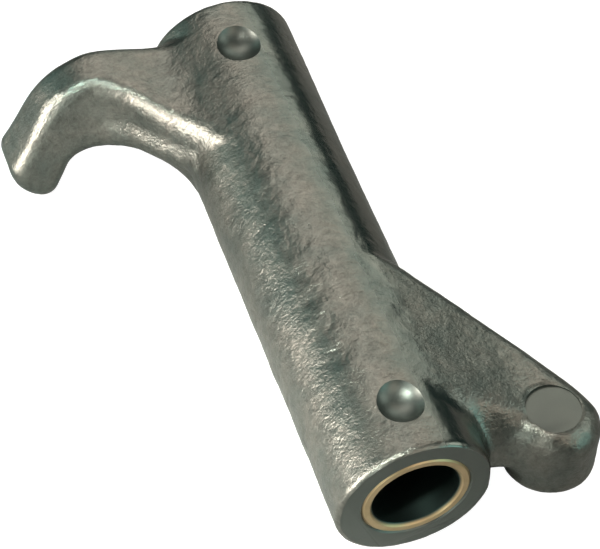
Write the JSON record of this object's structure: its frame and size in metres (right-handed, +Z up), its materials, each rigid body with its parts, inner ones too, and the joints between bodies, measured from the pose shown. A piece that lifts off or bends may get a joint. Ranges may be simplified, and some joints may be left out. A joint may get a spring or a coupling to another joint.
{
  "type": "rocker arm",
  "caption": "Forged tubular rocker arm with bronze-bushed shaft bore, curved valve pad on one arm and ball socket for the pushrod on the other.",
  "frame": {"origin": "on the axis of the shaft bore, halfway along the barrel", "axes": "+Y along the bore towards the valve arm, +Z up on the side with the two dimples, +X towards the pushrod arm"},
  "size_m": [0.0716, 0.0975, 0.026],
  "materials": {
    "forged_steel": "as-forged skin, machined end faces",
    "bronze": "machined bearing bronze"
  },
  "bodies": {
    "root": {"rocker_arm": "forged_steel", "pushrod_end_bushing": "bronze", "valve_end_bushing": "bronze"}
  },
  "joints": []
}
